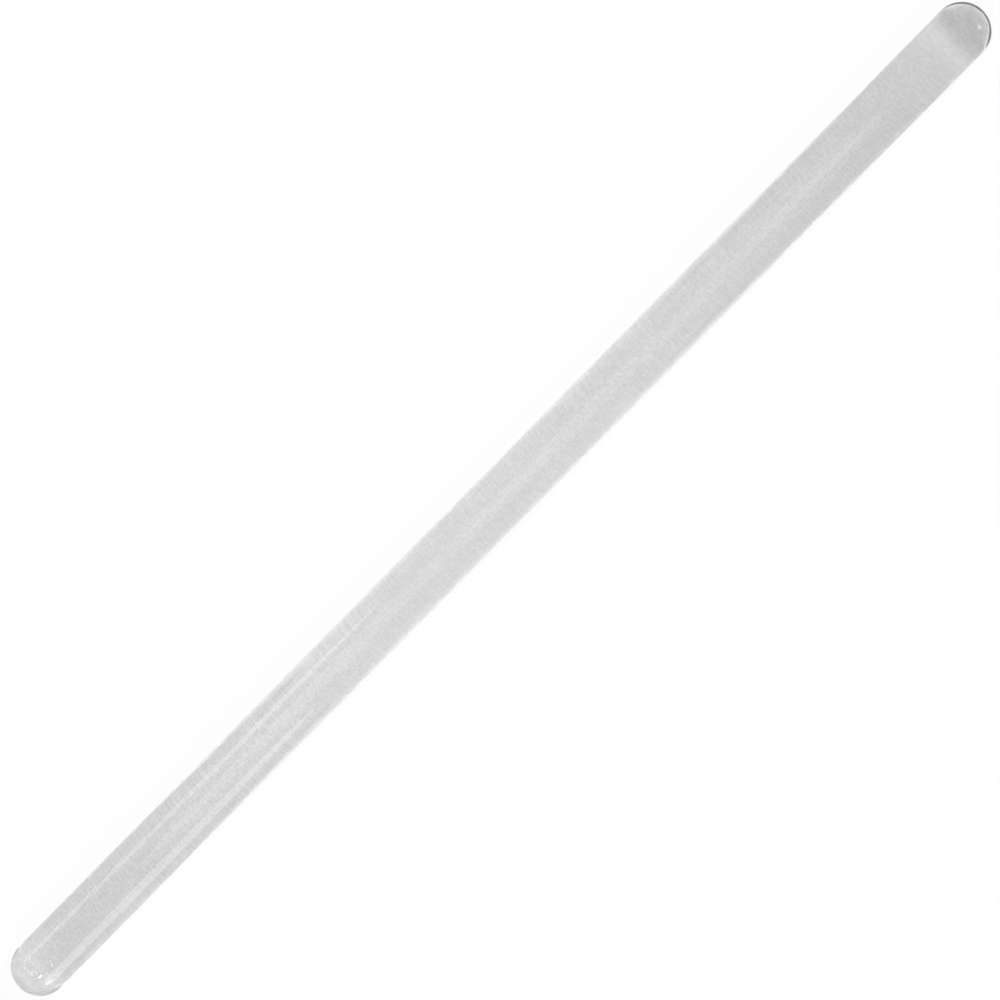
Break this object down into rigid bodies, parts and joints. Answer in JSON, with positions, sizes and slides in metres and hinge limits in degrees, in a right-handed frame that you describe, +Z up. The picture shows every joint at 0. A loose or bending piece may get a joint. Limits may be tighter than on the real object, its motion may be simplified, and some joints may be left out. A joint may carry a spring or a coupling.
{
  "type": "glass stirring rod",
  "caption": "Straight solid glass rod with both ends melted to round domes, for stirring liquids and guiding them as they are poured.",
  "frame": {"origin": "on the rod's axis, halfway between its two tips", "axes": "+X along the rod's axis, +Z up with the rod lying level; the rod is the same all round its axis and end for end"},
  "size_m": [0.15, 0.0062, 0.0064],
  "materials": {
    "glass": "clear drawn glass with flame-polished ends, faintly grey through its thickness"
  },
  "bodies": {
    "root": {"glass_rod": "glass"}
  },
  "joints": []
}
